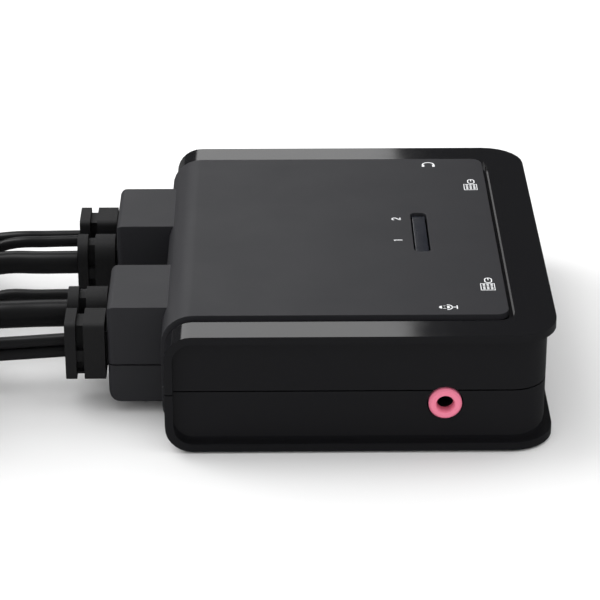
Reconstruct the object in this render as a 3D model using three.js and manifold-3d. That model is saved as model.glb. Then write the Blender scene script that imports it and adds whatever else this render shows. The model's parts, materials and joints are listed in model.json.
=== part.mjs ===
// A compact two-computer KVM switch with built-in leads, in millimetres, +Z up.
// +X points away from the leads, -Y is the side with the microphone jack, and the
// origin is under the middle of the case and its boots, on the surface that it stands on.
import * as THREE from 'three';
import { mergeVertices } from 'three/addons/utils/BufferGeometryUtils.js';
import Module from 'manifold-3d';

const wasm = await Module();
wasm.setup();

// Case
const WIDTH = 84;
const DEPTH = 101;
const HEIGHT = 27.7;
const PLAN_RADIUS = 9.4;
const SHOULDER = 6;
const LIP = 1.85;
const INSET = 1.8;
const WALL = 1.6;
const SEAM = 13.8;
const GAP = 0.3;
const FOOT_PROUD = 0.5;
const RIGHT = WIDTH / 2;
const LEFT = -WIDTH / 2;
const NEAR = -DEPTH / 2;
const FAR = DEPTH / 2;

// Matte covers that fill the middle of the frame
const COVER_PROUD = 0.8;
const COVER_SKIN = 1.5;
const COVER_RIGHT = 31.9;
const COVER_HALF = 41.9;
const GROOVE = 1.3;
const LEDGE = 1.4;
const LEDGE_DEPTH = 1.0;
const BASE_RECESS = 0.1;
const BASE_FLANGE = 0.6;

// Bosses that the leads leave from
const BOSS = { left: -55, inner: 10.2, outer: 31.75, bottom: 2.2, top: 25.4, seam: 11.3, wall: 1.6 };

// Board, sockets and jacks
const BOARD = { left: -34, right: 37.5, half: 38.5, bottom: 5.7, top: 7.3 };
const PORT_FLOOR = BOARD.top + GAP;
const USB = { y: 26.5, width: 13.2, height: 5.7, left: 26.2, right: 40 };
const VIDEO = { width: 15.2, height: 5.7, left: 28, right: 40 };
const JACK = { x: 18.1, z: 10.8, ring: 3.6, bore: 1.8, mouth: 2.1, proud: 0.9 };
const LENS = { x: 15, width: 3.7, length: 20.8, led: 5.2 };

// Leads
const THICK = [6.2, 5.4];
const THIN = 2.75;
const COIL_SEGMENTS = 28;

// Boots: the middle of each across the case, its top, and its form
const BOOTS = [
  { name: 'usb_audio_boot_1', y: -26.25, top: 20.8, width: 9.3, round: false },
  { name: 'video_boot_1', y: -15.3, top: 22.1, width: 9.0, round: true },
  { name: 'video_boot_2', y: 16.0, top: 20.4, width: 9.0, round: true },
  { name: 'usb_audio_boot_2', y: 26.4, top: 21.3, width: 9.3, round: false },
];
const NECK_SLOTS = [[-5.1, -2.6], [0.1, 5.9]];
const BOOT = { height: 13.8, block: [-60.3, -55.6], neck: [-62.0, -60.3], plate: [-64.4, -62.0] };

// Everything is drawn from the middle of the case, then moved to centre it with its boots.
const group = new THREE.Group();
const layout = new THREE.Group();
layout.position.x = -(RIGHT + BOOT.plate[0]) / 2;
group.add(layout);
const casing = new THREE.Group();
casing.position.z = FOOT_PROUD;
layout.add(casing);

// Materials
function paint(color, roughness, metalness = 0) {
  return new THREE.MeshStandardMaterial({ color, roughness, metalness });
}
const GLOSS = paint(0x0c0c0e, 0.12);
const MATTE = paint(0x2b2b30, 0.55);
const RUBBER = paint(0x161617, 0.8);
const JACKET = paint(0x0e0f10, 0.4);
const STEEL = paint(0xb9bbbe, 0.3, 1);
const TONGUE = paint(0x111113, 0.5);
const LENS_CLEAR = paint(0x3a3d46, 0.1);
const LED_BODY = paint(0x55584e, 0.3);
const LAMINATE = paint(0x14401f, 0.5);
const PINK = paint(0xf08aa4, 0.4);
const GREEN = paint(0x8fd08c, 0.4);

// Solids
function solidOf(geometry) {
  const bare = geometry.index ? geometry.toNonIndexed() : geometry.clone();
  bare.deleteAttribute('normal');
  bare.deleteAttribute('uv');
  const merged = mergeVertices(bare, 1e-4);
  const vertProperties = new Float32Array(merged.attributes.position.array);
  const triVerts = new Uint32Array(merged.index.array);
  return new wasm.Manifold(new wasm.Mesh({ numProp: 3, vertProperties, triVerts }));
}

function geometryOf(solid) {
  const mesh = solid.getMesh();
  const geometry = new THREE.BufferGeometry();
  geometry.setAttribute('position', new THREE.BufferAttribute(new Float32Array(mesh.vertProperties), 3));
  geometry.setIndex(new THREE.BufferAttribute(new Uint32Array(mesh.triVerts), 1));
  geometry.computeVertexNormals();
  return geometry;
}

function place(parent, name, shape, material) {
  const geometry = shape.isBufferGeometry ? shape : geometryOf(shape);
  const mesh = new THREE.Mesh(geometry, material);
  mesh.name = name;
  parent.add(mesh);
  return mesh;
}

function box([x0, x1], [y0, y1], [z0, z1]) {
  const geometry = new THREE.BoxGeometry(x1 - x0, y1 - y0, z1 - z0);
  return solidOf(geometry.translate((x0 + x1) / 2, (y0 + y1) / 2, (z0 + z1) / 2));
}

function around(middle, size) {
  return [middle - size / 2, middle + size / 2];
}

function rod(radius, [from, to], axis, [a, b], sides = 16, endRadius = radius) {
  const geometry = new THREE.CylinderGeometry(endRadius, radius, to - from, sides);
  geometry.translate(0, (from + to) / 2, 0);
  if (axis === 'x') return solidOf(geometry.rotateZ(-Math.PI / 2).translate(0, a, b));
  if (axis === 'z') return solidOf(geometry.rotateX(Math.PI / 2).translate(a, b, 0));
  return solidOf(geometry.translate(a, 0, b));
}

// A rounded rectangle; the four radii run left-low, right-low, right-high, left-high.
function rounded([x0, x1], [y0, y1], [a, b, c, d], segments = 6) {
  const points = [];
  const corners = [[x0 + a, y0 + a, a, 2], [x1 - b, y0 + b, b, 3], [x1 - c, y1 - c, c, 0], [x0 + d, y1 - d, d, 1]];
  for (const [x, y, radius, quarter] of corners) {
    const steps = radius > 0 ? segments : 0;
    for (let i = 0; i <= steps; i += 1) {
      const angle = (quarter + (steps ? i / steps : 0)) * Math.PI / 2;
      points.push(new THREE.Vector2(x + radius * Math.cos(angle), y + radius * Math.sin(angle)));
    }
  }
  return new THREE.Shape(points);
}

// A plan outline raised from z0 to z1.
function plate(shape, [z0, z1]) {
  const geometry = new THREE.ExtrudeGeometry(shape, { depth: z1 - z0, bevelEnabled: false });
  return solidOf(geometry.translate(0, 0, z0));
}

// A side outline, drawn in X and Z, drawn out from y0 to y1.
function slab(shape, [y0, y1]) {
  const geometry = new THREE.ExtrudeGeometry(shape, { depth: y1 - y0, bevelEnabled: false });
  return solidOf(geometry.rotateX(Math.PI / 2).translate(0, y1, 0));
}

// An end outline, drawn in Y and Z, drawn out from x0 to x1.
function bar(shape, [x0, x1]) {
  const geometry = new THREE.ExtrudeGeometry(shape, { depth: x1 - x0, bevelEnabled: false });
  return solidOf(geometry.rotateX(Math.PI / 2).rotateZ(Math.PI / 2).translate(x0, 0, 0));
}

// The case's side outline, moved inwards by an offset, left open past the right end.
function sideOutline(offset, right = RIGHT) {
  const radius = SHOULDER - offset;
  return rounded([LEFT + offset, right], [offset, HEIGHT - offset], [radius, 0, 0, radius], 7);
}

function casePlan(inset, radius = PLAN_RADIUS - inset) {
  return rounded([LEFT, RIGHT - inset], [NEAR + inset, FAR - inset], [0.6, radius, radius, 0.6], 7);
}

// Case frame: near rail, far rail and right end in one, cut at the seam into two shells.
const SCREWS = [[34.3, 42.3], [34.3, -42.3], [-33, 44.2], [-33, -44.2]];
const POST = { radius: 3.1, pilot: 1.3, counterbore: 2.5, seat: 3.0, depth: 22 };
const FEET = [[24, 46.8], [24, -46.8], [-20, 46.8], [-20, -46.8]];
const FOOT = { radius: 2.8, recess: 0.9 };

function frameShell() {
  const tall = [-2, HEIGHT + 2];
  const across = [NEAR - 2, FAR + 2];
  const beyond = RIGHT + 20;
  const outer = slab(sideOutline(0), across).intersect(plate(casePlan(0), tall));
  const under = slab(sideOutline(LIP, beyond), across);
  const walls = plate(casePlan(INSET), tall);
  const inside = under.intersect(plate(casePlan(INSET + WALL), tall));
  const shell = outer.subtract(under.subtract(walls)).subtract(inside);
  const pocketPlan = rounded(
    [LEFT - 10, COVER_RIGHT + GROOVE], [-COVER_HALF - GROOVE, COVER_HALF + GROOVE], [0, 4, 4, 0]);
  const pocket = plate(pocketPlan, tall).subtract(slab(sideOutline(LEDGE_DEPTH, beyond), across));
  const windowPlan = rounded(
    [LEFT - 10, COVER_RIGHT - LEDGE], [-COVER_HALF + LEDGE, COVER_HALF - LEDGE], [0, 2.5, 2.5, 0]);
  return shell.subtract(pocket).subtract(plate(windowPlan, tall));
}

function cutPorts(shell) {
  let cut = shell;
  for (const y of [NEAR, FAR]) {
    cut = cut.subtract(rod(JACK.ring + GAP, around(y, 8), 'y', [JACK.x, JACK.z], 24));
  }
  const span = [RIGHT - 5, RIGHT];
  const height = [PORT_FLOOR - GAP, PORT_FLOOR + USB.height + GAP];
  for (const y of [-USB.y, USB.y]) {
    cut = cut.subtract(box(span, around(y, USB.width + 2 * GAP), height));
  }
  return cut.subtract(box(span, around(0, VIDEO.width + 2 * GAP), height));
}

function upperFrame(shell) {
  let half = shell.intersect(box([-60, 60], [-60, 60], [SEAM + GAP / 2, 40]));
  for (const at of SCREWS) {
    half = half.add(rod(POST.radius - 0.4, [SEAM + GAP / 2, HEIGHT - 1.2], 'z', at));
    half = half.subtract(rod(POST.pilot, [SEAM - 1, POST.depth], 'z', at, 12));
  }
  return half;
}

function lowerFrame(shell) {
  let half = shell.intersect(box([-60, 60], [-60, 60], [-5, SEAM - GAP / 2]));
  for (const at of SCREWS) {
    half = half.add(rod(POST.radius, [1, SEAM - GAP / 2], 'z', at));
    half = half.subtract(rod(POST.pilot, [-1, SEAM + 1], 'z', at, 12));
    half = half.subtract(rod(POST.counterbore, [-1, POST.seat], 'z', at, 16));
  }
  for (const at of FEET) {
    half = half.subtract(rod(FOOT.radius + GAP, [-1, FOOT.recess], 'z', at, 20));
  }
  return half;
}

function screw(at) {
  const head = rod(2.2, [POST.seat - 1.9, POST.seat - GAP], 'z', at, 14);
  const drive = rod(0.9, [0, POST.seat - 1.1], 'z', at, 6);
  return head.subtract(drive).add(rod(1, [POST.seat - 0.6, 20], 'z', at, 10));
}

function foot(at) {
  return rod(FOOT.radius, [-FOOT_PROUD, FOOT.recess - GAP], 'z', at, 20);
}

// Matte covers with their halves of the two bosses
function coverPlan() {
  return rounded([LEFT - 20, COVER_RIGHT], [-COVER_HALF, COVER_HALF], [0, 2.8, 2.8, 0]);
}

function baseOutline(left, bottom, radius) {
  return rounded([left, RIGHT + 20], [bottom, SEAM], [radius, 0, 0, 0], 7);
}

function bossSolid(grow, side) {
  const span = [BOSS.left - grow, LEFT + 3];
  const outline = rounded(
    span, [BOSS.bottom - grow, BOSS.top + grow], [2.6 + grow, 0, 0, 1.4 + grow], 5);
  const near = side < 0 ? [-BOSS.outer - grow, -BOSS.inner + grow] : [BOSS.inner - grow, BOSS.outer + grow];
  const plan = rounded(span, near, [1.4 + grow, 0, 0, 1.4 + grow], 4);
  return slab(outline, near).intersect(plate(plan, [0, HEIGHT]));
}

function bootOpening(boot) {
  const middle = boot.top - BOOT.height / 2;
  return box([BOSS.left - 1, BOSS.left + BOSS.wall + 1], around(boot.y, 5.6), around(middle, 9));
}

// The span of Y and Z that lies inside the bosses is open to the inside of the case.
function withBosses(skin, half) {
  const cut = half === 'upper' ? [BOSS.seam + GAP / 2, 40] : [-5, BOSS.seam - GAP / 2];
  let cover = skin;
  for (const side of [-1, 1]) {
    const [inner, outer] = [side * (BOSS.inner + BOSS.wall), side * (BOSS.outer - BOSS.wall)];
    cover = cover.add(bossSolid(0, side));
    cover = cover.subtract(box(
      [BOSS.left + BOSS.wall, LEFT + 4],
      [Math.min(inner, outer), Math.max(inner, outer)],
      [BOSS.bottom + BOSS.wall, BOSS.top - BOSS.wall]));
  }
  for (const boot of BOOTS) {
    cover = cover.subtract(bootOpening(boot));
  }
  cover = cover.subtract(rod(2.6, [LEFT - 3, LEFT + 3], 'x', [0, SEAM - 0.8], 16));
  return cover.intersect(box([-80, 60], [-60, 60], cut));
}

function upperCover() {
  const wide = [-COVER_HALF, COVER_HALF];
  const skin = slab(sideOutline(-COVER_PROUD, RIGHT + 20), wide)
    .subtract(slab(sideOutline(COVER_SKIN - COVER_PROUD, RIGHT + 30), [NEAR, FAR]))
    .intersect(plate(coverPlan(), [SEAM - 5, HEIGHT + 2]));
  const slot = rounded(around(LENS.x, LENS.width), around(0, LENS.length), [1.2, 1.2, 1.2, 1.2], 4);
  return withBosses(skin, 'upper').subtract(plate(slot, [20, HEIGHT + 2]));
}

function lowerCover() {
  const wide = [-COVER_HALF, COVER_HALF];
  const skin = slab(baseOutline(LEFT - COVER_PROUD, BASE_RECESS, 6.7), wide)
    .subtract(slab(baseOutline(LEFT + COVER_SKIN - COVER_PROUD, BASE_RECESS + BASE_FLANGE, 5.4), [NEAR, FAR]))
    .intersect(plate(coverPlan(), [-1, SEAM + 1]));
  const floorHalf = COVER_HALF - LEDGE - GAP;
  let cover = withBosses(skin, 'lower');
  const floorPlan = rounded([-35.5, COVER_RIGHT - LEDGE - GAP], [-floorHalf, floorHalf], [0, 2.4, 2.4, 0]);
  cover = cover.add(plate(floorPlan, [0.4, 1.9]));
  for (const x of [-28, 20]) {
    for (const y of [-32, 32]) {
      cover = cover.add(rod(2.5, [1.5, BOARD.bottom - GAP], 'z', [x, y], 12));
    }
  }
  return cover;
}

// Window lens and the two lamps below it
function lens() {
  const outline = rounded(
    around(LENS.x, LENS.width - 2 * GAP), around(0, LENS.length - 2 * GAP), [0.9, 0.9, 0.9, 0.9], 4);
  return plate(outline, [26.2, 27.9]);
}

function lamp(y) {
  const stem = rod(1.5, [PORT_FLOOR, 23.8], 'z', [LENS.x, y], 12);
  const dome = solidOf(new THREE.SphereGeometry(1.5, 12, 8).rotateX(Math.PI / 2).translate(LENS.x, y, 23.8));
  return stem.add(dome);
}

// Main board with its chips soldered on
function mainBoard() {
  let board = box([BOARD.left, BOARD.right], [-BOARD.half, BOARD.half], [BOARD.bottom, BOARD.top]);
  const chips = [[-6, 0, 14, 14], [-24, 18, 9, 9], [-24, -18, 9, 9], [4, 22, 7, 5], [4, -22, 7, 5]];
  for (const [x, y, length, width] of chips) {
    board = board.add(box(around(x, length), around(y, width), [BOARD.top - 0.5, BOARD.top + 1.2]));
  }
  return board;
}

// Sockets in the right end
function usbShell(y) {
  const high = [PORT_FLOOR, PORT_FLOOR + USB.height];
  const outer = box([USB.left, USB.right], around(y, USB.width), high);
  return outer.subtract(box(
    [USB.left + 0.5, USB.right + 1], around(y, USB.width - 0.8), [high[0] + 0.4, high[1] - 0.4]));
}

function usbTongue(y) {
  const block = box([USB.left + 0.9, USB.left + 3], around(y, 11.6), [PORT_FLOOR + 0.8, PORT_FLOOR + 4.9]);
  return block.add(box([USB.left + 2, USB.right - 1.6], around(y, 11.2), [PORT_FLOOR + 2.8, PORT_FLOOR + 4.7]));
}

function videoOutline(shrink) {
  const half = VIDEO.width / 2 - shrink;
  const low = PORT_FLOOR + shrink;
  const high = PORT_FLOOR + VIDEO.height - shrink;
  const slope = 1.6;
  return new THREE.Shape([
    new THREE.Vector2(-half + slope, low),
    new THREE.Vector2(half - slope, low),
    new THREE.Vector2(half, low + slope),
    new THREE.Vector2(half, high),
    new THREE.Vector2(-half, high),
    new THREE.Vector2(-half, low + slope),
  ]);
}

function videoShell() {
  const outer = bar(videoOutline(0), [VIDEO.left, VIDEO.right]);
  return outer.subtract(bar(videoOutline(0.4), [VIDEO.left + 0.5, VIDEO.right + 1]));
}

function videoTongue() {
  const block = box([VIDEO.left + 0.9, VIDEO.left + 3], around(0, 11), [PORT_FLOOR + 0.8, PORT_FLOOR + 4.9]);
  return block.add(box([VIDEO.left + 2, VIDEO.right - 1.4], around(0, 10.4), [PORT_FLOOR + 2.6, PORT_FLOOR + 3.5]));
}

// Audio jacks, one in each long side
function jackBody(side) {
  const deep = [FAR - INSET - WALL - 11, FAR - INSET - WALL - GAP];
  const span = side > 0 ? deep : [-deep[1], -deep[0]];
  const bore = side > 0 ? [deep[0] + 1, deep[1] + 1] : [-deep[1] - 1, -deep[0] - 1];
  const body = box(around(JACK.x, 8.4), span, [PORT_FLOOR, 14.2]);
  return body.subtract(rod(JACK.bore, bore, 'y', [JACK.x, JACK.z], 20));
}

function jackCollar(side) {
  const front = FAR - INSET + JACK.proud;
  const back = FAR - INSET - WALL;
  const profile = [
    [JACK.bore, back], [JACK.ring, back], [JACK.ring, front - 0.5], [JACK.ring - 0.5, front],
    [JACK.mouth, front], [JACK.bore, front - 0.8], [JACK.bore, back],
  ];
  const geometry = new THREE.LatheGeometry(profile.map(([r, y]) => new THREE.Vector2(r, y)), 28);
  if (side < 0) geometry.rotateX(Math.PI);
  return solidOf(geometry.translate(JACK.x, 0, JACK.z));
}

// Strain-relief boots
function bootOutline(boot, shrink) {
  const low = boot.top - BOOT.height + shrink;
  const high = boot.top - shrink;
  const span = [boot.y - boot.width / 2 + shrink, boot.y + boot.width / 2 - shrink];
  const top = boot.round ? boot.width / 2 - shrink - 0.1 : 1.2;
  return rounded(span, [low, high], [1.2, 1.2, top, top], boot.round ? 8 : 3);
}

function bootSolid(boot) {
  const middle = boot.top - BOOT.height / 2;
  let solid = bar(bootOutline(boot, 0), BOOT.block);
  solid = solid.add(bar(bootOutline(boot, 0), BOOT.plate));
  solid = solid.add(bar(bootOutline(boot, 0.9), [BOOT.neck[0] - 0.5, BOOT.neck[1] + 0.5]));
  for (const [low, high] of NECK_SLOTS) {
    for (const side of [-1, 1]) {
      const face = boot.y + side * boot.width / 2;
      solid = solid.subtract(box(BOOT.neck, around(face, 5), [middle + low, middle + high]));
    }
  }
  solid = solid.add(box([BOOT.block[1] - 0.5, BOSS.left + 4], around(boot.y, 5), around(middle, 8.4)));
  return solid.add(box([BOSS.left + BOSS.wall + GAP, BOSS.left + 3.6], around(boot.y, 6.2), around(middle, 11.6)));
}

function grommet() {
  const at = [0, SEAM - 0.8];
  const sleeve = rod(2.3, [LEFT - 6, LEFT + 4], 'x', at, 16);
  const collar = rod(3.4, [LEFT - COVER_PROUD - GAP - 2, LEFT - COVER_PROUD - GAP], 'x', at, 16);
  return sleeve.add(collar).add(rod(3.4, [LEFT + 1.4, LEFT + 3], 'x', at, 16));
}

// Leads: a tube where a lead runs free, and one ring for each coil
function tube(points, diameter, steps) {
  const path = new THREE.CatmullRomCurve3(points.map((p) => new THREE.Vector3(...p)), false, 'centripetal');
  const circle = new THREE.Shape();
  circle.absarc(0, 0, diameter / 2, 0, 2 * Math.PI);
  return solidOf(new THREE.ExtrudeGeometry(circle, { steps, curveSegments: 8, extrudePath: path }));
}

function ring([x, y], mean, width, height, base = 0) {
  const [inner, outer] = around(mean, width);
  const soft = 1.2;
  const profile = [
    [inner, soft], [inner + soft, 0], [outer - soft, 0], [outer, soft],
    [outer, height - soft], [outer - soft, height], [inner + soft, height], [inner, height - soft], [inner, soft],
  ];
  const geometry = new THREE.LatheGeometry(profile.map(([r, z]) => new THREE.Vector2(r, z)), COIL_SEGMENTS);
  return solidOf(geometry.rotateX(Math.PI / 2).translate(x, y, base));
}

const VIDEO_COILS = [
  { at: [-238.7, 13.3], mean: 31, plugY: 39.6, steps: 18 },
  { at: [-169, 18.1], mean: 27, plugY: 40.1, steps: 12 },
];
const REMOTE_COIL = { at: [-117, -29.8], mean: 5 * THIN, layers: 4, columns: 4 };
const PAIR = { mean: 6 * THIN, columns: 3, layers: 8 };
const PAIR_COILS = [
  { at: [-117, -29.8], side: 1, base: REMOTE_COIL.layers * THIN + GAP },
  { at: [-117, 29.8], side: -1, base: 0 },
];

const VIDEO_ROUTES = [
  [
    [-64.7, -15.3, 16.5], [-72, -15.35, 16.4], [-84, -15.7, 16.1], [-91, -13.6, 14.8], [-98, -10.6, 12.8],
    [-105, -7.2, 10.4], [-113, -5, 7.6], [-121, -5.1, 5.2], [-128, -7.4, 3.9], [-135, -11.4, 3.3],
    [-142, -16, 3.2], [-150, -19.4, 3.2], [-161, -20.9, 3.2], [-177, -21, 3.2], [-197, -20.9, 3.2],
    [-216.5, -20.9, 3.2],
  ],
  [
    [-64.7, 16, 14.1], [-72, 16.05, 14], [-84, 16.3, 13.6], [-91, 14, 12.2], [-98, 10.6, 10],
    [-105, 7.4, 7.4], [-113, 4.6, 5], [-121, 2.8, 3.4], [-128, 0.2, 2.8], [-135, -3.6, 2.75],
    [-141.5, -7.8, 2.75], [-147.5, -11.3, 2.75],
  ],
];
const USB_ROUTES = [
  [
    [-64.7, -26.25, 15.5], [-72, -26.3, 15], [-82, -26.8, 14.5], [-89, -28.6, 14.4], [-94, -33, 14.9],
    [-96.8, -39.2, 15.5],
  ],
  [
    [-64.7, 27.8, 15.4], [-72, 27.85, 15.3], [-82, 28, 15], [-88.5, 30.2, 12.9], [-93.5, 34, 9.6],
    [-96.8, 39.2, 6.2],
  ],
];
const AUDIO_ROUTES = [
  [
    [-64.7, -26.25, 12.65], [-72, -26.3, 12.15], [-82, -26.8, 11.65], [-89, -28.6, 11.55], [-94, -33, 12.05],
    [-96.8, -39.2, 12.7],
  ],
  [
    [-64.7, 25, 15.4], [-72, 25.05, 15.2], [-82, 25.2, 14.5], [-88.5, 28.2, 9.9], [-93.5, 33.4, 6.1],
    [-96.8, 39.2, 3.1],
  ],
];
const REMOTE_ROUTE = [
  [-48.6, 0, 13.5], [-58, 0, 13.45], [-72, 0, 13.3], [-82, -0.1, 13], [-88, -2.6, 10.8], [-92, -8.4, 7],
  [-94.5, -16.5, 3.6], [-95.9, -25, 1.75],
];

// Plugs
const VIDEO_PLUG = { rear: 12, length: 31.5, width: 20, height: 11, shell: 11 };
const USB_PLUG = { rear: 14, aside: 10, length: 30, width: 16, height: 8, shell: 12 };
const AUDIO_PLUG = { rear: 9.6, aside: -4, length: 20, radius: 4, pin: 14 };

const pairTop = (coil) => coil.base + PAIR.layers * THIN + GAP;

function softBox(x, y, z) {
  const size = z[1] - z[0];
  const soft = size / 4;
  return bar(rounded(y, z, [soft, soft, soft, soft], 3), x);
}

function videoPlug(coil, diameter, index) {
  const { length, width, height, shell } = VIDEO_PLUG;
  const floor = 3 * diameter + GAP;
  const middle = floor + height / 2;
  const rear = coil.at[0] - VIDEO_PLUG.rear;
  const front = rear + length;
  const body = softBox([rear, front], around(coil.plugY, width), [floor, floor + height]);
  const sleeve = box([front + GAP, front + shell], around(coil.plugY, 13.8), around(middle, 4.4));
  const mouth = box([front + 1, front + shell + 1], around(coil.plugY, 13), around(middle, 3.6));
  place(layout, `video_plug_${index}`, body, JACKET);
  place(layout, `video_plug_${index}_shell`, sleeve.subtract(mouth), STEEL);
}

function usbPlug(coil, index) {
  const y = coil.at[1] + coil.side * USB_PLUG.aside;
  const rear = coil.at[0] - USB_PLUG.rear;
  const front = rear + USB_PLUG.length;
  const floor = pairTop(coil);
  const middle = floor + USB_PLUG.height / 2;
  const body = softBox([rear, front], around(y, USB_PLUG.width), [floor, floor + USB_PLUG.height]);
  const shell = box([front + GAP, front + USB_PLUG.shell], around(y, 12), around(middle, 4.5));
  const mouth = box([front + 1, front + USB_PLUG.shell + 1], around(y, 11.2), around(middle, 3.7));
  place(layout, `usb_plug_${index}`, body, JACKET);
  place(layout, `usb_plug_${index}_shell`, shell.subtract(mouth), STEEL);
}

function audioPlug(coil, index) {
  const at = [coil.at[1] + coil.side * AUDIO_PLUG.aside, pairTop(coil) + AUDIO_PLUG.radius];
  const rear = coil.at[0] - AUDIO_PLUG.rear;
  const front = rear + AUDIO_PLUG.length;
  place(layout, `audio_plug_${index}`, rod(AUDIO_PLUG.radius, [rear, front], 'x', at, 16), JACKET);
  const tip = rod(1.75, [front + GAP, front + AUDIO_PLUG.pin], 'x', at, 12);
  place(layout, `audio_plug_${index}_pin`, tip, STEEL);
}

// Wired selector: two shells, a board and the push button
const UNIT = { x: [-188, -144], y: [-50.3, -28.3], split: 6.2, top: 12.5, wall: 1.5 };
const BUTTON = { radius: 6.2, flange: 7.2, low: 9.7, top: 14.2 };

function unitShell(z, cavity) {
  const shape = rounded(UNIT.x, UNIT.y, [5, 5, 5, 5], 4);
  const inner = rounded(
    [UNIT.x[0] + UNIT.wall, UNIT.x[1] - UNIT.wall], [UNIT.y[0] + UNIT.wall, UNIT.y[1] - UNIT.wall],
    [3.5, 3.5, 3.5, 3.5], 4);
  return plate(shape, z).subtract(plate(inner, cavity));
}

function remoteUnit() {
  const middle = [(UNIT.x[0] + UNIT.x[1]) / 2, (UNIT.y[0] + UNIT.y[1]) / 2];
  const inlet = rod(THIN / 2 + GAP, [UNIT.x[1] - 3, UNIT.x[1] + 1], 'x', [middle[1], UNIT.split - 1.6], 10);
  const lower = unitShell([0, UNIT.split - GAP / 2], [UNIT.wall, 20]);
  const upper = unitShell([UNIT.split + GAP / 2, UNIT.top], [0, UNIT.top - UNIT.wall]);
  place(layout, 'remote_lower_shell', lower.subtract(inlet), MATTE);
  place(layout, 'remote_upper_shell', upper.subtract(rod(BUTTON.radius + 0.4, [5, 20], 'z', middle, 28)), MATTE);
  const flange = rod(BUTTON.flange, [BUTTON.low, BUTTON.low + 1], 'z', middle, 24);
  place(layout, 'remote_button', flange.add(rod(BUTTON.radius, [BUTTON.low, BUTTON.top], 'z', middle, 24)), GLOSS);
  const board = box(around(middle[0], 34), around(middle[1], 15), [2.5, 3.7]);
  const dome = box(around(middle[0], 6), around(middle[1], 6), [3.2, 8.4]);
  place(layout, 'remote_board', board.add(dome), LAMINATE);
}

// Assembly
const shell = cutPorts(frameShell());
place(casing, 'upper_frame', upperFrame(shell), GLOSS);
place(casing, 'lower_frame', lowerFrame(shell), GLOSS);
place(casing, 'upper_cover', upperCover(), MATTE);
place(casing, 'lower_cover', lowerCover(), MATTE);
place(casing, 'lamp_window', lens(), LENS_CLEAR);
place(casing, 'host_lamp_1', lamp(-LENS.led), LED_BODY);
place(casing, 'host_lamp_2', lamp(LENS.led), LED_BODY);
place(casing, 'main_board', mainBoard(), LAMINATE);
for (const [index, y] of [[1, -USB.y], [2, USB.y]]) {
  place(casing, `usb_socket_${index}_shell`, usbShell(y), STEEL);
  place(casing, `usb_socket_${index}_tongue`, usbTongue(y), TONGUE);
}
place(casing, 'video_socket_shell', videoShell(), STEEL);
place(casing, 'video_socket_tongue', videoTongue(), TONGUE);
place(casing, 'microphone_jack', jackBody(-1), TONGUE);
place(casing, 'microphone_jack_collar', jackCollar(-1), PINK);
place(casing, 'headphone_jack', jackBody(1), TONGUE);
place(casing, 'headphone_jack_collar', jackCollar(1), GREEN);
for (const boot of BOOTS) {
  place(casing, boot.name, bootSolid(boot), RUBBER);
}
place(casing, 'remote_lead_grommet', grommet(), RUBBER);
SCREWS.forEach((at, i) => place(casing, `case_screw_${i + 1}`, screw(at), STEEL));
FEET.forEach((at, i) => place(casing, `foot_${i + 1}`, foot(at), RUBBER));

VIDEO_COILS.forEach((coil, i) => {
  const diameter = THICK[i];
  place(layout, `video_lead_${i + 1}`, tube(VIDEO_ROUTES[i], diameter, coil.steps), JACKET);
  place(layout, `video_lead_${i + 1}_coil`, ring(coil.at, coil.mean, 2 * diameter, 3 * diameter), JACKET);
  videoPlug(coil, diameter, i + 1);
});
PAIR_COILS.forEach((coil, i) => {
  const pair = ring(coil.at, PAIR.mean, PAIR.columns * THIN, PAIR.layers * THIN, coil.base);
  place(layout, `usb_lead_${i + 1}`, tube(USB_ROUTES[i], THIN, 8), JACKET);
  place(layout, `audio_lead_${i + 1}`, tube(AUDIO_ROUTES[i], THIN, 8), JACKET);
  place(layout, `usb_audio_lead_${i + 1}_coil`, pair, JACKET);
  usbPlug(coil, i + 1);
  audioPlug(coil, i + 1);
});
place(layout, 'remote_lead', tube(REMOTE_ROUTE, THIN, 12), JACKET);
place(layout, 'remote_lead_coil',
  ring(REMOTE_COIL.at, REMOTE_COIL.mean, REMOTE_COIL.columns * THIN, REMOTE_COIL.layers * THIN), JACKET);
remoteUnit();

export default group;
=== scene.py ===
"""A compact two-computer KVM switch with its leads, on a pale floor. Metres, +Z up."""

import json
import math

import bmesh
import bpy
from mathutils import Matrix, Vector

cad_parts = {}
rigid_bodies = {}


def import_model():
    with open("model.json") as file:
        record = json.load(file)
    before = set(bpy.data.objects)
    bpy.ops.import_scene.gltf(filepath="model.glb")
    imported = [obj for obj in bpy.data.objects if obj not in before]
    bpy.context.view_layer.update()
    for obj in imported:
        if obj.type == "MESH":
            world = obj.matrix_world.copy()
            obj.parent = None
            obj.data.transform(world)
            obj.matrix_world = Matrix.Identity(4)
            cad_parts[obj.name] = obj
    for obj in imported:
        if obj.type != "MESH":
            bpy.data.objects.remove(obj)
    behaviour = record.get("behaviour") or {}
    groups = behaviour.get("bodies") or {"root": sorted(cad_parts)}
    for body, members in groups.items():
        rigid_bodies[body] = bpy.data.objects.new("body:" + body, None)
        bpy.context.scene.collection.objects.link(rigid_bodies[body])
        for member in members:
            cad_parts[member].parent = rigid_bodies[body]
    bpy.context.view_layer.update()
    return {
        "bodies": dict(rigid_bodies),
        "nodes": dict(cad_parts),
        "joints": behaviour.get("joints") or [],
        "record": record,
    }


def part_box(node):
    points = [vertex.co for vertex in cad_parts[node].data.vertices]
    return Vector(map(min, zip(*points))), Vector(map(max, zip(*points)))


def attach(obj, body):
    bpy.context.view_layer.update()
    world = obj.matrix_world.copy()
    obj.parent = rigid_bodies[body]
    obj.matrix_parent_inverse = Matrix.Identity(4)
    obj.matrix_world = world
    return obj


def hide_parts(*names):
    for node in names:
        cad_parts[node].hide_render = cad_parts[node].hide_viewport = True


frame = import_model()

MM = 0.001
CASE = "case"

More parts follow.
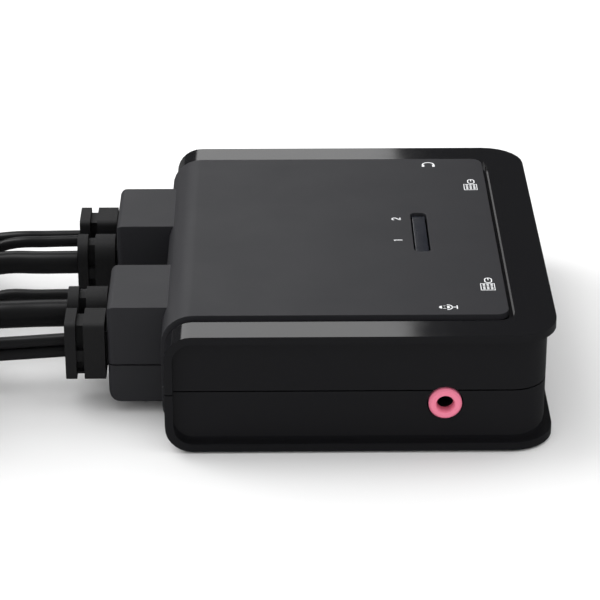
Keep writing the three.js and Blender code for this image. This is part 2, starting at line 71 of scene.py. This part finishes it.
# Places come from the frame: the case's own middle, and the height of its top cover.
FRAME_LOW, FRAME_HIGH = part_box("lower_frame")
MIDDLE_X = (FRAME_LOW[0] + FRAME_HIGH[0]) / 2
COVER_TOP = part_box("upper_cover")[1][2]

# The camera's place in millimetres from the middle of the case, and the way it looks.
CAMERA_AT = (-18.33, -528.15, 275.1)
CAMERA_LOOKS = (0.00995, 0.89488, -0.44619)
CAMERA_LENS = 153.3


def at(x, y, z):
    """A point given in millimetres from the middle of the case, at the floor."""
    return Vector((MIDDLE_X + x * MM, y * MM, z * MM))


# ---------------------------------------------------------------- camera

def add_camera():
    data = bpy.data.cameras.new("camera")
    data.lens = CAMERA_LENS
    data.sensor_width = 36
    data.clip_start = 0.01
    camera = bpy.data.objects.new("camera", data)
    bpy.context.scene.collection.objects.link(camera)
    camera.location = at(*CAMERA_AT)
    camera.rotation_euler = Vector(CAMERA_LOOKS).to_track_quat("-Z", "Y").to_euler()
    bpy.context.scene.camera = camera


# ---------------------------------------------------------------- materials

def material(name, color, roughness, metallic=0.0):
    mat = bpy.data.materials.new(name)
    mat.use_nodes = True
    shader = mat.node_tree.nodes["Principled BSDF"]
    shader.inputs["Base Color"].default_value = (*color, 1)
    shader.inputs["Roughness"].default_value = roughness
    shader.inputs["Metallic"].default_value = metallic
    return mat, shader


def noise(mat, scale, detail=4.0):
    """A noise in object space, its size given as features to the metre."""
    nodes, links = mat.node_tree.nodes, mat.node_tree.links
    coords = nodes.new("ShaderNodeTexCoord")
    texture = nodes.new("ShaderNodeTexNoise")
    texture.inputs["Scale"].default_value = scale
    texture.inputs["Detail"].default_value = detail
    links.new(coords.outputs["Object"], texture.inputs["Vector"])
    return texture.outputs["Fac"]


def vary(mat, socket, fac, low, high):
    spread = mat.node_tree.nodes.new("ShaderNodeMapRange")
    spread.inputs["To Min"].default_value = low
    spread.inputs["To Max"].default_value = high
    mat.node_tree.links.new(fac, spread.inputs["Value"])
    mat.node_tree.links.new(spread.outputs["Result"], socket)


def bump(mat, shader, height, strength, distance):
    node = mat.node_tree.nodes.new("ShaderNodeBump")
    node.inputs["Strength"].default_value = strength
    node.inputs["Distance"].default_value = distance
    mat.node_tree.links.new(height, node.inputs["Height"])
    mat.node_tree.links.new(node.outputs["Normal"], shader.inputs["Normal"])


def moulded(name, color, roughness, grain=6000, strength=0.12, depth=0.00003):
    """Moulded plastic or rubber: a fine grain in relief and a slow change of gloss."""
    mat, shader = material(name, color, roughness)
    bump(mat, shader, noise(mat, grain, 2.0), strength, depth)
    vary(mat, shader.inputs["Roughness"], noise(mat, 90), roughness * 0.88, roughness * 1.12)
    return mat


def polished(name, color):
    """Polished plastic, with a trace of moulding waviness and of handling."""
    mat, shader = material(name, color, 0.07)
    shader.inputs["Specular IOR Level"].default_value = 0.6
    bump(mat, shader, noise(mat, 45, 1.0), 0.06, 0.0004)
    vary(mat, shader.inputs["Roughness"], noise(mat, 260), 0.05, 0.11)
    return mat


def plated(name, color):
    mat, shader = material(name, color, 0.26, metallic=1.0)
    vary(mat, shader.inputs["Roughness"], noise(mat, 900), 0.2, 0.34)
    return mat


def laminate_green():
    mat, shader = material("laminate", (0.01, 0.06, 0.02), 0.45)
    mix = mat.node_tree.nodes.new("ShaderNodeMix")
    mix.data_type = "RGBA"
    mix.inputs["A"].default_value = (0.008, 0.05, 0.018, 1)
    mix.inputs["B"].default_value = (0.014, 0.085, 0.03, 1)
    mat.node_tree.links.new(noise(mat, 400), mix.inputs["Factor"])
    mat.node_tree.links.new(mix.outputs["Result"], shader.inputs["Base Color"])
    return mat


def tinted_clear():
    mat, shader = material("lamp_window_clear", (0.05, 0.055, 0.075), 0.08)
    shader.inputs["Transmission Weight"].default_value = 0.75
    shader.inputs["IOR"].default_value = 1.49
    vary(mat, shader.inputs["Roughness"], noise(mat, 500), 0.06, 0.14)
    return mat


GLOSS = polished("gloss_black", (0.0075, 0.0075, 0.0085))
MATTE = moulded("matte_grey", (0.024, 0.024, 0.028), 0.46, grain=5200, strength=0.22, depth=0.00004)
REMOTE_GREY = moulded("remote_grey", (0.024, 0.024, 0.028), 0.5, grain=5200, strength=0.22, depth=0.00004)
RUBBER = moulded("rubber_black", (0.012, 0.012, 0.013), 0.58, grain=2600, strength=0.5, depth=0.00009)
JACKET = moulded("jacket_black", (0.009, 0.009, 0.01), 0.36, grain=3000, strength=0.18, depth=0.00005)
CONTACT = moulded("contact_black", (0.01, 0.01, 0.011), 0.5)
PINK = moulded("pink_plastic", (0.84, 0.21, 0.32), 0.34, grain=3500, strength=0.08)
GREEN = moulded("green_plastic", (0.25, 0.6, 0.24), 0.36, grain=3500, strength=0.08)
LAMP = moulded("lamp_body", (0.11, 0.12, 0.1), 0.25)
STEEL = plated("plated_steel", (0.55, 0.56, 0.57))
LAMINATE = laminate_green()
LENS = tinted_clear()
INK = moulded("white_ink", (0.78, 0.79, 0.8), 0.5, grain=9000, strength=0.05, depth=0.00001)


# ---------------------------------------------------------------- pieces

def link(name, data, mat, body=CASE):
    piece = bpy.data.objects.new(name, data)
    bpy.context.scene.collection.objects.link(piece)
    piece.data.materials.clear()
    piece.data.materials.append(mat)
    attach(piece, body)
    return piece


def smooth(mesh):
    for polygon in mesh.polygons:
        polygon.use_smooth = True


def refine(node, mat, width=0.35, segments=3, body=CASE):
    """The CAD node's own shape with its flats made whole and its edges softened."""
    mesh = frame["nodes"][node].data.copy()
    shape = bmesh.new()
    shape.from_mesh(mesh)
    bmesh.ops.remove_doubles(shape, verts=shape.verts, dist=0.000005)
    bmesh.ops.dissolve_limit(shape, angle_limit=math.radians(1.2), verts=shape.verts, edges=shape.edges)
    shape.to_mesh(mesh)
    shape.free()
    smooth(mesh)
    piece = link(node + "_shape", mesh, mat, body)
    bevel = piece.modifiers.new("edges", "BEVEL")
    bevel.width = width * MM
    bevel.segments = segments
    bevel.limit_method = "ANGLE"
    bevel.angle_limit = math.radians(32)
    bevel.use_clamp_overlap = True
    flats = piece.modifiers.new("flats", "WEIGHTED_NORMAL")
    flats.weight = 100
    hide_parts(node)
    return piece


def repaint(node, mat):
    piece = frame["nodes"][node]
    for index in range(len(piece.material_slots)):
        piece.material_slots[index].material = mat


# ---------------------------------------------------------------- leads

# Lengths in millimetres. A section is how many turns a coil has side by side, and how many layers.
THIN = 2.75
THICK = (6.2, 5.4)
VIDEO_SECTION = (2, 3)
PAIR_SECTION = (3, 4)
REMOTE_SECTION = (4, 4)
PAIR_MEAN = 6 * THIN
REMOTE_MEAN = 5 * THIN
PAIR_TURNS = 12
REMOTE_TURNS = 15
REMOTE_LAST_STEPS = 7
PAIR_CORD_LAYERS = 8
GAP = 0.3
THICK_AIR = 0.1
THIN_AIR = 0.05
VIDEO_PLUG_REAR = 12
VIDEO_PLUG_HALF = 5.5
THIN_PLUG_HALF = 4
VIDEO_RISE = 1.6
TURN_STEPS = 24
VIDEO_ROUTES = (
    ((-64.7, -15.3, 16.5), (-72, -15.35, 16.4), (-84, -15.7, 16.1), (-91, -13.6, 14.8), (-98, -10.6, 12.8),
     (-105, -7.2, 10.4), (-113, -5, 7.6), (-121, -5.1, 5.2), (-128, -7.4, 3.9), (-135, -11.4, 3.3),
     (-142, -16, 3.2), (-150, -19.4, 3.2), (-161, -20.9, 3.2), (-177, -21, 3.2), (-197, -20.9, 3.2),
     (-216.5, -20.9, 3.2)),
    ((-64.7, 16, 14.1), (-72, 16.05, 14), (-84, 16.3, 13.6), (-91, 14, 12.2), (-98, 10.6, 10),
     (-105, 7.4, 7.4), (-113, 4.6, 5), (-121, 2.8, 3.4), (-128, 0.2, 2.8), (-135, -3.6, 2.75),
     (-141.5, -7.8, 2.75), (-147.5, -11.3, 2.75)),
)
USB_ROUTES = (
    ((-64.7, -26.25, 15.5), (-72, -26.3, 15), (-82, -26.8, 14.5), (-89, -28.6, 14.4), (-94, -33, 14.9),
     (-96.8, -39.2, 15.5)),
    ((-64.7, 27.8, 15.4), (-72, 27.85, 15.3), (-82, 28, 15), (-88.5, 30.2, 12.9), (-93.5, 34, 9.6),
     (-96.8, 39.2, 6.2)),
)
AUDIO_ROUTES = (
    ((-64.7, -26.25, 12.65), (-72, -26.3, 12.15), (-82, -26.8, 11.65), (-89, -28.6, 11.55),
     (-94, -33, 12.05), (-96.8, -39.2, 12.7)),
    ((-64.7, 25, 15.4), (-72, 25.05, 15.2), (-82, 25.2, 14.5), (-88.5, 28.2, 9.9), (-93.5, 33.4, 6.1),
     (-96.8, 39.2, 3.1)),
)
REMOTE_ROUTE = (
    (-48.6, 0, 13.5), (-58, 0, 13.45), (-72, 0, 13.3), (-82, -0.1, 13), (-88, -2.6, 10.8), (-92, -8.4, 7),
    (-94.5, -16.5, 3.6), (-95.9, -25, 1.75),
)
REMOTE_CENTRE = (-117, -29.8)
PAIR_LIFTS = (REMOTE_SECTION[1] * THIN + GAP, 0)
# The middle of each pair coil, and the way it winds: 1 is anticlockwise from above.
PAIR_CENTRES = ((REMOTE_CENTRE, -1), ((-117, 29.8), 1))


def ease(t):
    t = min(max(t, 0.0), 1.0)
    return t * t * (3 - 2 * t)


def slots(columns, layers):
    """Places across a coil's section, wound outside in, then inside out one layer higher."""
    order = []
    for layer in range(layers):
        across = range(columns) if layer % 2 == 0 else reversed(range(columns))
        order += [(column, layer) for column in across]
    return order


def wind(coil, start, turn):
    """Turns of a coil from the angle start, one place of the section to each, then its last stretch."""
    outer = coil["mean"] + (coil["columns"] - 1) / 2 * coil["pitch"]
    seats = [
        (outer - column * coil["pitch"], coil["base"] + layer * coil["rise"])
        for column, layer in slots(coil["columns"], coil["layers"])]
    turns = coil["turns"]
    seats = seats[:turns] + [coil["last"]]
    points = []
    for step in range(TURN_STEPS * turns + coil["extra"] + 1):
        index, part = divmod(step, TURN_STEPS)
        here, after = seats[min(index, turns)], seats[min(index + 1, turns)]
        share = ease((part / TURN_STEPS - 0.84) / 0.16)
        blend = 1 - ease(step / coil["entry_steps"])
        radius = here[0] + (after[0] - here[0]) * share
        height = here[1] + (after[1] - here[1]) * share
        radius += (coil["entry"][0] - radius) * blend
        height += (coil["entry"][1] - height) * blend
        angle = start + turn * 2 * math.pi * step / TURN_STEPS
        points.append((coil["x"] + radius * math.cos(angle), coil["y"] + radius * math.sin(angle), height))
    return points


def coil_on(route, place, mean, section, spacing, base, turns, last, entry_steps, extra=0):
    """A coil that begins where the route's last point is."""
    x, y = place
    return {
        "x": x, "y": y, "mean": mean, "columns": section[0], "layers": section[1], "pitch": spacing[0],
        "rise": spacing[1], "base": base, "turns": turns, "last": last, "entry_steps": entry_steps,
        "extra": extra, "entry": (math.hypot(route[-1][0] - x, route[-1][1] - y), route[-1][2])}


def start_of(route, coil):
    return math.atan2(route[-1][1] - coil["y"], route[-1][0] - coil["x"])


def wound(route, coil, turn, tail):
    """A route, its coil, and a tail on top of the coil."""
    return list(route) + wind(coil, start_of(route, coil), turn)[1:] + list(tail)


def arc(coil, turn, places):
    """Points over a coil: each place is degrees from +X in the way it winds, radius, height."""
    made = []
    for degrees, radius, height in places:
        angle = turn * math.radians(degrees)
        made.append((coil["x"] + radius * math.cos(angle), coil["y"] + radius * math.sin(angle), height))
    return made


def beside(coil, turn, places):
    """Points over a coil, each given along X and across from its middle, with its height."""
    return [(coil["x"] + x, coil["y"] + turn * y, z) for x, y, z in places]


def lead_curve(name, points, diameter):
    """One smooth cord through the points."""
    data = bpy.data.curves.new(name, "CURVE")
    data.dimensions = "3D"
    data.bevel_depth = diameter / 2 * MM
    data.bevel_resolution = 4
    data.resolution_u = 5
    data.use_fill_caps = True
    spline = data.splines.new("BEZIER")
    spline.bezier_points.add(len(points) - 1)
    for knot, point in zip(spline.bezier_points, points):
        knot.co = at(*point)
        knot.handle_left_type = "AUTO"
        knot.handle_right_type = "AUTO"
    return link(name, data, JACKET)


def add_video_lead(number, place, mean, turns, entry_steps, plug_aside):
    """A round lead with its coil, then over the coil and round a quarter turn into its plug."""
    thick = THICK[number - 1]
    route = VIDEO_ROUTES[number - 1]
    turn = -1
    top = 3.5 * thick + 0.15
    outer = mean + thick / 2
    last = (outer - slots(*VIDEO_SECTION)[turns - 1][0] * thick, top)
    coil = coil_on(
        route, place, mean, VIDEO_SECTION, (thick, thick), thick / 2 + THICK_AIR, turns, last, entry_steps)
    quarter = outer - VIDEO_PLUG_REAR
    middle = plug_aside - quarter
    level = 3 * thick + GAP + VIDEO_PLUG_HALF
    risen = top + VIDEO_RISE
    first = math.degrees(turn * start_of(route, coil)) % 360
    over = []
    for share in (0.16, 0.33, 0.5, 0.67, 0.84):
        degrees = first + (180 - first) * share
        over.append((degrees, last[0] + (outer - last[0]) * ease(share), top + VIDEO_RISE * ease(share)))
    into_plug = []
    for degrees in (180, 202, 225, 247, 268):
        angle = math.radians(degrees)
        share = (degrees - 180) / 88
        x = -VIDEO_PLUG_REAR + quarter * math.cos(angle)
        into_plug.append((x, -middle + quarter * math.sin(angle), risen + (level - risen) * share))
    tail = arc(coil, turn, over) + beside(coil, turn, into_plug)
    points = wound(route, coil, turn, tail)
    piece = lead_curve(f"video_lead_{number}_run", points, thick)
    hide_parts(f"video_lead_{number}", f"video_lead_{number}_coil")
    return piece, points, thick


def add_pair_lead(kind, routes, number, place, turn):
    """A thin strand, wound one above the other with its twin, then over the coil into its plug."""
    route = routes[number - 1]
    lift = PAIR_LIFTS[number - 1]
    base = lift + {"usb": 1.5, "audio": 0.5}[kind] * THIN + THIN_AIR
    top = PAIR_CORD_LAYERS * THIN + base + 0.1
    level = lift + PAIR_CORD_LAYERS * THIN + GAP + THIN_PLUG_HALF
    last = (PAIR_MEAN + THIN, top)
    coil = coil_on(route, place, PAIR_MEAN, PAIR_SECTION, (THIN, 2 * THIN), base, PAIR_TURNS, last, 4)
    if kind == "usb":
        tail = arc(coil, turn, ((45, 19.3, top), (75, 19.3, top), (105, 19.3, top), (135, 19.4, top),
                                (160, 19.6, top), (173, 19.8, top)))
        tail += beside(coil, turn, ((-19.6, -4, level), (-17.6, -8, level), (-14.4, -9.9, level)))
    else:
        tail = arc(coil, turn, ((45, 19.1, top), (75, 19, top), (100, 18.9, top)))
        tail += beside(coil, turn, ((-12, 15.6, top), (-15.8, 13.6, top), (-17.4, 10, top),
                                    (-16.2, 6.6, level - 1.6), (-12.2, 4.6, level)))
    points = wound(route, coil, turn, tail)
    piece = lead_curve(f"{kind}_lead_{number}_run", points, THIN)
    stood_for = [f"{kind}_lead_{number}"] + ([f"usb_audio_lead_{number}_coil"] if kind == "usb" else [])
    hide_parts(*stood_for)
    return piece, points, THIN


def add_remote_lead():
    """The selector's thin lead, wound under the pair coil of host 1."""
    base = THIN / 2 + THIN_AIR
    last = (REMOTE_MEAN + 1.5 * THIN, base + 3 * THIN)
    coil = coil_on(
        REMOTE_ROUTE, REMOTE_CENTRE, REMOTE_MEAN, REMOTE_SECTION, (THIN, THIN), base, REMOTE_TURNS, last, 4,
        REMOTE_LAST_STEPS)
    tail = ((-125, -47.4, 9.5), (-132, -45.6, 8), (-137.5, -42.3, 5.8), (-142, -40, 4.8), (-145, -39.3, 4.6))
    points = wound(REMOTE_ROUTE, coil, -1, tail)
    piece = lead_curve("remote_lead_run", points, THIN)
    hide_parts("remote_lead", "remote_lead_coil")
    return piece, points, THIN


# ---------------------------------------------------------------- plugs and selector

def add_plugs():
    """Overmoulded plugs, each with its plated shell or pin."""
    made = {}
    for number in (1, 2):
        made[f"video_{number}"] = (
            refine(f"video_plug_{number}", JACKET, 0.8),
            refine(f"video_plug_{number}_shell", STEEL, 0.15, 2))
        made[f"usb_{number}"] = (
            refine(f"usb_plug_{number}", JACKET, 0.8),
            refine(f"usb_plug_{number}_shell", STEEL, 0.12, 2))
        made[f"audio_{number}"] = (
            refine(f"audio_plug_{number}", JACKET, 0.7),
            refine(f"audio_plug_{number}_pin", STEEL, 0.5))
    return made


def add_selector():
    return (
        refine("remote_lower_shell", REMOTE_GREY, 0.8),
        refine("remote_upper_shell", REMOTE_GREY, 1.0),
        refine("remote_button", GLOSS, 0.5, body="button"),
    )


# ---------------------------------------------------------------- case

def add_case():
    refine("upper_frame", GLOSS, 0.3)
    refine("lower_frame", GLOSS, 0.3)
    refine("upper_cover", MATTE, 0.4)
    refine("lower_cover", MATTE, 0.4)
    refine("lamp_window", LENS, 0.2)
    for boot in ("usb_audio_boot_1", "usb_audio_boot_2", "video_boot_1", "video_boot_2"):
        refine(boot, RUBBER, 0.45)
    refine("remote_lead_grommet", RUBBER, 0.3)
    refine("microphone_jack_collar", PINK, 0.12, 2)
    refine("headphone_jack_collar", GREEN, 0.12, 2)
    for number in range(1, 5):
        refine(f"foot_{number}", RUBBER, 0.25, 2)
        repaint(f"case_screw_{number}", STEEL)
    for number in (1, 2):
        refine(f"usb_socket_{number}_shell", STEEL, 0.1, 2)
        repaint(f"usb_socket_{number}_tongue", CONTACT)
        repaint(f"host_lamp_{number}", LAMP)
    refine("video_socket_shell", STEEL, 0.1, 2)
    repaint("video_socket_tongue", CONTACT)
    repaint("microphone_jack", CONTACT)
    repaint("headphone_jack", CONTACT)
    repaint("main_board", LAMINATE)
    repaint("remote_board", LAMINATE)


# ---------------------------------------------------------------- printed symbols

INK_HEIGHT = 0.05
INK_SINK = 0.01


def face(shape, corners):
    """A thin printed area through the corners, given in millimetres on the symbol's own sheet."""
    low = [shape.verts.new((x * MM, y * MM, 0)) for x, y in corners]
    high = [shape.verts.new((x * MM, y * MM, INK_HEIGHT * MM)) for x, y in corners]
    shape.faces.new(list(reversed(low)))
    shape.faces.new(high)
    for i in range(len(corners)):
        j = (i + 1) % len(corners)
        shape.faces.new((low[i], low[j], high[j], high[i]))


def stroke(shape, points, width):
    """A printed line of one width along the points."""
    left, right = [], []
    for i, point in enumerate(points):
        before = Vector(points[max(i - 1, 0)])
        after = Vector(points[min(i + 1, len(points) - 1)])
        along = (after - before).normalized()
        side = Vector((-along.y, along.x)) * width / 2
        left.append(tuple(Vector(point) + side))
        right.append(tuple(Vector(point) - side))
    for i in range(len(points) - 1):
        face(shape, (left[i], right[i], right[i + 1], left[i + 1]))


def arc_points(x, y, radius, start, end, steps=14):
    angles = [math.radians(start + (end - start) * i / steps) for i in range(steps + 1)]
    return [(x + radius * math.cos(a), y + radius * math.sin(a)) for a in angles]


def disc(shape, x, y, radius, sides):
    angles = [2 * math.pi * i / sides for i in range(sides)]
    face(shape, [(x + radius * math.cos(a), y + radius * math.sin(a)) for a in angles])


def rectangle(shape, x0, y0, x1, y1):
    face(shape, ((x0, y0), (x1, y0), (x1, y1), (x0, y1)))


def frame_line(shape, x0, y0, x1, y1, width):
    stroke(shape, ((x0, y0), (x1, y0), (x1, y1), (x0, y1), (x0, y0)), width)


def draw_headphones(shape):
    stroke(shape, arc_points(0, -0.2, 1.35, 180, 0), 0.32)
    rectangle(shape, -1.55, -1.35, -0.95, -0.2)
    rectangle(shape, 0.95, -1.35, 1.55, -0.2)


def draw_microphone(shape):
    disc(shape, 0, 1.3, 0.62, 20)
    rectangle(shape, -0.62, 0.2, 0.62, 1.3)
    disc(shape, 0, 0.2, 0.62, 20)
    stroke(shape, arc_points(0, 0.2, 1.15, 180, 360), 0.26)
    rectangle(shape, -0.13, -1.9, 0.13, -0.9)
    rectangle(shape, -0.8, -2.1, 0.8, -1.85)


def draw_keyboard_and_mouse(shape):
    frame_line(shape, -1.6, -2.6, 1.4, 0.6, 0.22)
    for column in range(3):
        for row in range(4):
            x, y = -1.15 + 0.85 * column, -2.2 + 0.72 * row
            rectangle(shape, x, y, x + 0.5, y + 0.4)
    frame = arc_points(0.2, 2.6, 0.75, 0, 180) + arc_points(0.2, 1.8, 0.75, 180, 360)
    stroke(shape, frame + frame[:1], 0.24)
    rectangle(shape, 0.1, 2.3, 0.3, 3.2)


def draw_one(shape):
    stroke(shape, ((-0.45, 0.65), (0, 1.0), (0, -1.0)), 0.3)


def draw_two(shape):
    stroke(shape, arc_points(0, 0.42, 0.55, 170, -35, 10) + [(-0.6, -0.95)], 0.28)
    rectangle(shape, -0.65, -1.0, 0.65, -0.72)


def add_print(name, draw, x, y, turn):
    shape = bmesh.new()
    draw(shape)
    mesh = bpy.data.meshes.new(name)
    shape.to_mesh(mesh)
    shape.free()
    onto_cover = Matrix.Translation(at(x, y, COVER_TOP / MM - INK_SINK))
    mesh.transform(onto_cover @ Matrix.Rotation(math.radians(turn), 4, "Z"))
    link(name, mesh, INK)


PRINTS = (
    ("print_headphones", draw_headphones, 18.9, 38.4, 0),
    ("print_keyboard_1", draw_keyboard_and_mouse, 28.3, -27.6, 0),
    ("print_keyboard_2", draw_keyboard_and_mouse, 28.3, 25.9, 0),
    ("print_microphone", draw_microphone, 18.9, -38.4, 90),
    ("print_one", draw_one, 9.7, -4.4, 90),
    ("print_two", draw_two, 9.8, 7.0, 90),
)


# ---------------------------------------------------------------- light and floor

def area_light(name, location, target, size, power):
    data = bpy.data.lights.new(name, "AREA")
    data.shape = "RECTANGLE"
    data.size, data.size_y = size
    data.energy = power
    lamp = bpy.data.objects.new(name, data)
    bpy.context.scene.collection.objects.link(lamp)
    lamp.location = location
    lamp.rotation_euler = (Vector(target) - Vector(location)).to_track_quat("-Z", "Y").to_euler()


def dim_in_reflections(owner, socket, seen, reflected):
    """A grey that reflections see darker, as a black object looks between dark screens."""
    nodes, links = owner.node_tree.nodes, owner.node_tree.links
    path = nodes.new("ShaderNodeLightPath")
    grey = nodes.new("ShaderNodeMapRange")
    grey.inputs["To Min"].default_value = seen
    grey.inputs["To Max"].default_value = reflected
    links.new(path.outputs["Is Glossy Ray"], grey.inputs["Value"])
    links.new(grey.outputs["Result"], socket)


def add_stage():
    """A pale floor, a white sky and three soft lights from above, behind and the left."""
    mesh = bpy.data.meshes.new("floor")
    reach = 6.0
    mesh.from_pydata(
        [(-reach, -reach, 0), (reach, -reach, 0), (reach, reach, 0), (-reach, reach, 0)], [], [(0, 1, 2, 3)])
    floor = bpy.data.objects.new("floor", mesh)
    bpy.context.scene.collection.objects.link(floor)
    pale, shader = material("floor_pale", (0.86, 0.86, 0.86), 0.9)
    dim_in_reflections(pale, shader.inputs["Base Color"], 0.86, 0.07)
    mesh.materials.append(pale)

    world = bpy.data.worlds.new("studio")
    bpy.context.scene.world = world
    world.use_nodes = True
    sky = world.node_tree.nodes["Background"]
    sky.inputs["Strength"].default_value = 1.0
    dim_in_reflections(world, sky.inputs["Color"], 1.1, 0.035)
    area_light("overhead", (-0.5, 0.15, 0.8), (0, 0, 0), (0.45, 0.7), 3.2)
    area_light("back", (-0.2, 1.0, 0.55), (0, 0, 0), (0.58, 0.3), 0.8)
    area_light("left", (-0.7, 0.4, 0.45), (0, 0, 0.01), (0.5, 0.5), 2.2)
    bpy.context.scene.view_settings.view_transform = "Standard"


# ---------------------------------------------------------------- assembly

add_camera()
video_1 = add_video_lead(1, (-238.7, 13.3), 31, 5, 3, 26.3)
video_2 = add_video_lead(2, (-169, 18.1), 27, 6, 5, 22)
pairs = {
    (kind, number): add_pair_lead(kind, routes, number, *centre)
    for kind, routes in (("usb", USB_ROUTES), ("audio", AUDIO_ROUTES))
    for number, centre in zip((1, 2), PAIR_CENTRES)}
remote = add_remote_lead()

add_case()
plugs = add_plugs()
selector = add_selector()
for print_facts in PRINTS:
    add_print(*print_facts)

add_stage()
